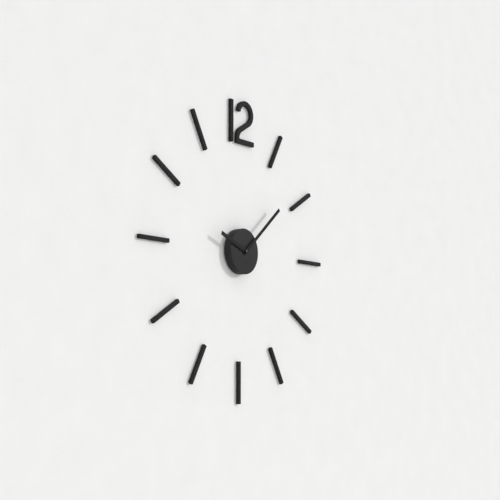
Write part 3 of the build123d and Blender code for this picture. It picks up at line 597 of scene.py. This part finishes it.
# ---------------------------------------------------------------------------------------------------
# Train bridge, wheels and setting knob: moulded in acetal, a waxy, slightly milky plastic. Moving
# wheels of thin acetal let a little light through, which softens their teeth.
acetal = {
    "IOR": 1.48,
    "Subsurface Weight": 0.2,
    "Subsurface Scale": 1.5 * MM,
    "Subsurface Radius": (1.0, 0.9, 0.75),
}
wheel_acetal = finish_of(
    "natural_acetal_moulded", "#DEDBD2", "#ECEAE3", grain=0.8, relief=0.006, gloss=(0.3, 0.42), **acetal
)
dress(wheel_acetal, "hour_wheel", "minute_arbor", "motion_wheel", "centre_wheel")
dress(wheel_acetal, "third_wheel", "fourth_wheel", "fifth_wheel", "rotor_shaft")
bridge_acetal = finish_of(
    "cream_acetal_moulded", "#D2CCB9", "#E2DDCB", grain=0.6, relief=0.012, gloss=(0.4, 0.55), **acetal
)
dress(bridge_acetal, "train_bridge", "coil_bobbin")
knob_acetal = finish_of(
    "white_acetal_moulded", "#D9D9D6", "#EDEDEA", grain=0.5, relief=0.01, gloss=(0.34, 0.48), **acetal
)
dress(knob_acetal, "set_knob")

# ---------------------------------------------------------------------------------------------------
# Stepping motor: a soft-iron stator and core stamped from sheet, a bobbin wound with enamelled copper
# wire, and a two-pole ferrite magnet on the rotor's shaft.
stator_iron = finish_of(
    "stamped_soft_iron", "#7E7F80", "#A2A3A3", grain=0.5, relief=0.008, gloss=(0.3, 0.46),
    stretch=(1, 1, 9), Metallic=1.0,
)
dress(stator_iron, "stator", "coil_core")
ferrite = finish_of(
    "sintered_ferrite", "#262628", "#3C3C3F", grain=0.2, relief=0.01, gloss=(0.45, 0.65), Metallic=0.35
)
dress(ferrite, "rotor_magnet")

# The winding's wire is about 0.03 mm thick, and its turns are drawn ten times as wide.
coil_low, coil_high, coil = size_of("coil_winding")
coil_turns = 48
coil_bore = 2.0 * MM
coil_radius = coil.z / 2
wire = coil.x / coil_turns
wire_relief = wire * 0.45
wire_facets = 5
winding_steps = 40
coil_profile = [(coil_bore, coil_low.x)]
for turn in range(coil_turns):
    for facet in range(wire_facets):
        swell = wire_relief * sin(pi * facet / wire_facets)
        at = coil_low.x + wire * (turn + facet / wire_facets)
        coil_profile.append((coil_radius - wire_relief + swell, at))
coil_profile += [(coil_radius - wire_relief, coil_high.x), (coil_bore, coil_high.x)]


def lie_along_x(bm, at):
    """Lays a lathed piece, made with its depth as the distance along X, on an axis through a point."""
    bmesh.ops.rotate(bm, cent=(0, 0, 0), matrix=Matrix.Rotation(radians(90), 3, "Z"), verts=bm.verts)
    bmesh.ops.translate(bm, vec=(0, at.y, at.z), verts=bm.verts)
    return bm


copper = finish_of(
    "enamelled_copper_wire", "#9C4A22", "#C0693A", grain=0.4, relief=0.004, gloss=(0.2, 0.32),
    Metallic=1.0, Coat_Weight=0.4,
)
winding = lie_along_x(lathe(coil_profile, winding_steps), (coil_low + coil_high) / 2)
piece("wire_winding", winding, copper, "root", "copper_wire", "coil_winding")

# ---------------------------------------------------------------------------------------------------
# Circuit: a glass-epoxy board with green solder mask, a quartz tuning fork in a drawn metal can, and
# one chip under black epoxy.
board = finish_of(
    "green_solder_mask", "#0F3A22", "#1B5735", grain=1.4, relief=0.02, gloss=(0.25, 0.4),
    stretch=(1, 1, 4), Coat_Weight=0.3,
)
dress(board, "circuit_board")
can = finish_of(
    "drawn_nickel_silver_can", "#A7A7A3", "#C9C9C5", grain=0.4, relief=0.005, gloss=(0.2, 0.32),
    stretch=(8, 1, 1), Metallic=1.0,
)
dress(can, "quartz_crystal")
resin = finish_of("black_epoxy_resin", "#0B0B0C", "#171718", grain=0.3, relief=0.015, gloss=(0.35, 0.5))
dress(resin, "clock_chip")

# ---------------------------------------------------------------------------------------------------
# Battery: one AA alkaline cell, a steel can in a printed film jacket. The film curls over both ends,
# and the plus end is crimped round a raised button.
cell_low, cell_high, cell = size_of("battery_cell")
cell_radius = cell.z / 2
nub_radius = 2.75 * MM
nub_rise = 1.1 * MM
body_end = cell_high.x - nub_rise
film_curl = 0.5 * MM
film_lip = 1.0 * MM
film_thickness = 0.1 * MM
crimp_step = 0.15 * MM
minus_sink = 0.35 * MM
plus_sink = 0.5 * MM
groove_inner = nub_radius + 0.1 * MM
groove_outer = nub_radius + 0.8 * MM
groove_slope = 0.4 * MM
minus_rim = cell_radius - film_lip - 1.0 * MM
minus_slope = 0.3 * MM
button_edge = 0.35 * MM
button_corner_in = 0.12 * MM
button_corner_down = 0.1 * MM
cell_steps = 96
curl_step = 18  # degrees
curl = [
    (film_curl * (1 - sin(radians(a))), film_curl * (1 - cos(radians(a)))) for a in range(0, 91, curl_step)
]
cell_profile = [
    (0, cell_low.x + minus_sink),
    (minus_rim - minus_slope, cell_low.x + minus_sink),
    (minus_rim, cell_low.x + film_thickness),
    (cell_radius - film_lip, cell_low.x + film_thickness),
    (cell_radius - film_lip, cell_low.x),
    *[(cell_radius - inwards, cell_low.x + along) for inwards, along in curl],
    *[(cell_radius - inwards, body_end - along) for along, inwards in curl],
    (cell_radius - film_lip, body_end),
    (cell_radius - film_lip, body_end - crimp_step),
    (groove_outer + groove_slope, body_end - crimp_step),
    (groove_outer, body_end - plus_sink),
    (groove_inner, body_end - plus_sink),
    (nub_radius, body_end - 2 * crimp_step),
    (nub_radius, cell_high.x - button_edge),
    (nub_radius - button_corner_in, cell_high.x - button_corner_down),
    (nub_radius - button_edge, cell_high.x),
    (0, cell_high.x),
]
cell_centre = (cell_low + cell_high) / 2
cell_bm = lie_along_x(lathe(cell_profile, cell_steps), cell_centre)
for face in cell_bm.faces:
    away = (face.calc_center_median() - cell_centre).yz.length
    face.material_index = 1 if away < cell_radius - film_lip + HAIR else 0

# Printed film: a glossy jacket, slate blue with a silver-grey band at the plus end and a hairline ring.
jacket = finish_of(
    "printed_film_jacket", "#2B3440", "#35404E", grain=3.0, relief=0.004, gloss=(0.22, 0.3),
    Coat_Weight=0.5,
)
tree = jacket.node_tree
shader = tree.nodes["Principled BSDF"]
place = node(tree, "ShaderNodeTexCoord")
split = node(tree, "ShaderNodeSeparateXYZ", links={"Vector": place.outputs["Object"]})
print_at = node(
    tree,
    "ShaderNodeMapRange",
    {"From Min": cell_low.x, "From Max": cell_high.x},
    {"Value": split.outputs["X"]},
)
bands = node(tree, "ShaderNodeValToRGB", links={"Fac": print_at.outputs["Result"]})
bands.color_ramp.interpolation = "CONSTANT"
# dark slate at the minus end, slate to 70 % of the length, a hairline ring, a gap, then silver-grey
bands.color_ramp.elements[0].color = linear("#2E3946")
bands.color_ramp.elements[1].position = 0.72
bands.color_ramp.elements[1].color = linear("#A9ADB0")
for position, colour in ((0.70, "#C9CCCE"), (0.71, "#2E3946"), (0.06, "#3A4654")):
    bands.color_ramp.elements.new(position).color = linear(colour)
speckle = shader.inputs["Base Color"].links[0].from_socket
speckle_share = 0.12
blended = node(
    tree,
    "ShaderNodeMix",
    {0: speckle_share},
    {6: bands.outputs["Color"], 7: speckle},
    data_type="RGBA",
)
tree.links.new(blended.outputs[2], shader.inputs["Base Color"])
# Bright nickel on the can's ends: mirror-like, with faint drawing lines.
nickel = finish_of(
    "bright_nickel_plate", "#B9B6AF", "#D8D6D0", grain=0.5, relief=0.003, gloss=(0.14, 0.24),
    Metallic=1.0,
)
cell_piece = piece("aa_cell", cell_bm, jacket, "battery", "cell_jacket", "battery_cell")
cell_piece.data.materials.append(nickel)

# ---------------------------------------------------------------------------------------------------
# Contacts: strips of nickel-plated spring steel, stamped and bent, with a coil spring on the minus
# side that takes up the cell's tolerance.
contact_steel = finish_of(
    "nickel_plated_spring_steel", "#A3A29D", "#C6C5C0", grain=0.6, relief=0.004, gloss=(0.22, 0.36),
    stretch=(1, 1, 6), Metallic=1.0,
)
dress(contact_steel, "contact_positive", "contact_negative")

# ---------------------------------------------------------------------------------------------------
# Room: a painted plaster wall that the clock hangs on and a pale floor a metre below it. Both are
# stage pieces. Only the wall's room side shows, so that the clock's back can be looked at as well.


def sheet_of(name, corners, material):
    """One flat stage piece from its corners."""
    mesh = bpy.data.meshes.new(name)
    mesh.from_pydata(corners, [], [range(len(corners))])
    made = bpy.data.objects.new(name, mesh)
    mesh.materials.append(material)
    scene.collection.objects.link(made)
    return made


room_half = 4.0
floor_z = -1.1
ceiling_z = 2.9
wall_gap = 0.3 * MM

# Matt emulsion over plaster, with a roller stipple about 3 mm from bump to bump.
paint = finish_of(
    "matt_wall_paint", "#ECECEC", "#F0F0F0", grain=3.0, relief=0.05, gloss=(0.85, 0.95),
    Specular_IOR_Level=0.2,
)
tree = paint.node_tree
# the wall's far side, and the wall as a blocker of light, are left out
clear = node(tree, "ShaderNodeBsdfTransparent")
geometry = node(tree, "ShaderNodeNewGeometry")
light_path = node(tree, "ShaderNodeLightPath")
hidden = node(
    tree,
    "ShaderNodeMath",
    links={0: geometry.outputs["Backfacing"], 1: light_path.outputs["Is Shadow Ray"]},
    operation="MAXIMUM",
)
painted = tree.nodes["Principled BSDF"]
shown = node(
    tree,
    "ShaderNodeMixShader",
    links={0: hidden.outputs["Value"], 1: painted.outputs["BSDF"], 2: clear.outputs["BSDF"]},
)
tree.links.new(shown.outputs["Shader"], tree.nodes["Material Output"].inputs["Surface"])
sheet_of(
    "room_wall",
    [
        (-room_half, wall_gap, floor_z),
        (room_half, wall_gap, floor_z),
        (room_half, wall_gap, ceiling_z),
        (-room_half, wall_gap, ceiling_z),
    ],
    paint,
)
screed = finish_of("pale_floor_screed", "#E3E2E0", "#EEEDEB", grain=12.0, relief=0.1, gloss=(0.7, 0.8))
sheet_of(
    "room_floor",
    [
        (-room_half, -room_half, floor_z),
        (room_half, -room_half, floor_z),
        (room_half, room_half, floor_z),
        (-room_half, room_half, floor_z),
    ],
    screed,
)

# ---------------------------------------------------------------------------------------------------
# Light: a soft key from the front right and a little above, as from a window, in an even pale room.
# A soft box behind the wall shows the clock's back in views from there.
scene.view_settings.view_transform = "Standard"
sky = bpy.data.worlds.new("studio_sky")
scene.world = sky
sky.use_nodes = True
background = sky.node_tree.nodes["Background"]
background.inputs["Color"].default_value = linear("#F6F6F6")
background.inputs["Strength"].default_value = 0.81

for name, kind, place, softness, power in (
    ("window_key", "SUN", (0.65, -1.0, 0.36), radians(8), 1.07),
    ("back_softbox", "AREA", (0.3, 2.6, 0.5), 1.2, 26.0),
):
    lamp = bpy.data.lights.new(name, kind)
    if kind == "SUN":
        lamp.angle = softness
    else:
        lamp.size = softness
    lamp.energy = power
    holder = bpy.data.objects.new(name, lamp)
    holder.location = place
    holder.rotation_euler = (-Vector(place)).to_track_quat("-Z", "Y").to_euler()
    scene.collection.objects.link(holder)

# Camera: low and well to the left of the clock, with a short telephoto lens.
eye = Vector((-1.51428, -1.12125, -0.22029))
view_azimuth = radians(-54.15)
view_elevation = radians(-6.77)
camera = bpy.data.objects.new("camera", bpy.data.cameras.new("camera"))
camera.data.sensor_width = 36.0
camera.data.lens = 81.1
camera.location = eye
backward = Vector(
    (
        sin(view_azimuth) * cos(view_elevation),
        -cos(view_azimuth) * cos(view_elevation),
        sin(view_elevation),
    )
)
camera.rotation_euler = (-backward).to_track_quat("-Z", "Y").to_euler()
scene.collection.objects.link(camera)
scene.camera = camera
